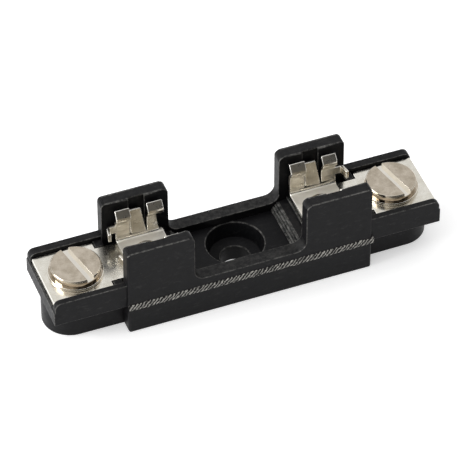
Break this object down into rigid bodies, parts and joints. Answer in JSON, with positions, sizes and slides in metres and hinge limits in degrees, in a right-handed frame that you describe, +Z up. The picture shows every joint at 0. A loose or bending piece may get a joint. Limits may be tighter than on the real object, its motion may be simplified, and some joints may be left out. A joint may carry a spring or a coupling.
{
  "type": "fuse block",
  "caption": "Open fuse block: moulded base with spring clips between upright walls, a stepped mounting hole and a slotted screw terminal at each end.",
  "frame": {"origin": "axis of the mounting hole at the underside of the base", "axes": "+X along the fuse towards the right terminal, +Y towards the back, +Z up out of the open side"},
  "size_m": [0.0526, 0.0116, 0.0136],
  "materials": {
    "moulding": "satin black thermoset moulding",
    "plated_brass": "tin plated",
    "spring_metal": "tin plated spring bronze",
    "plated_steel": "nickel plated"
  },
  "bodies": {
    "block": {"base": "moulding", "terminal_left": "plated_brass", "terminal_right": "plated_brass", "clip_left": "spring_metal", "clip_right": "spring_metal", "rivet_left": "plated_brass", "rivet_right": "plated_brass"},
    "washer_left": {"washer_left": "plated_steel"},
    "terminal_screw_left": {"terminal_screw_left": "plated_steel"},
    "washer_right": {"washer_right": "plated_steel"},
    "terminal_screw_right": {"terminal_screw_right": "plated_steel"}
  },
  "joints": [
    {"name": "screw_rise_left", "type": "slide", "parent": "block", "child": "washer_left", "axis": [0, 0, 1], "range_m": [0, 0.0024]},
    {"name": "screw_turn_left", "type": "hinge", "parent": "washer_left", "child": "terminal_screw_left", "pos_m": [-0.02155, 0, 0.0077], "axis": [0, 0, 1], "range_deg": [0, 1090]},
    {"name": "screw_rise_right", "type": "slide", "parent": "block", "child": "washer_right", "axis": [0, 0, 1], "range_m": [0, 0.0024]},
    {"name": "screw_turn_right", "type": "hinge", "parent": "washer_right", "child": "terminal_screw_right", "pos_m": [0.02155, 0, 0.0077], "axis": [0, 0, 1], "range_deg": [0, 1090]}
  ],
  "couplings": [
    {"joint": "screw_turn_left", "follows": "screw_rise_left", "rad_per_m": 7913.2},
    {"joint": "screw_turn_right", "follows": "screw_rise_right", "rad_per_m": 7913.2}
  ]
}
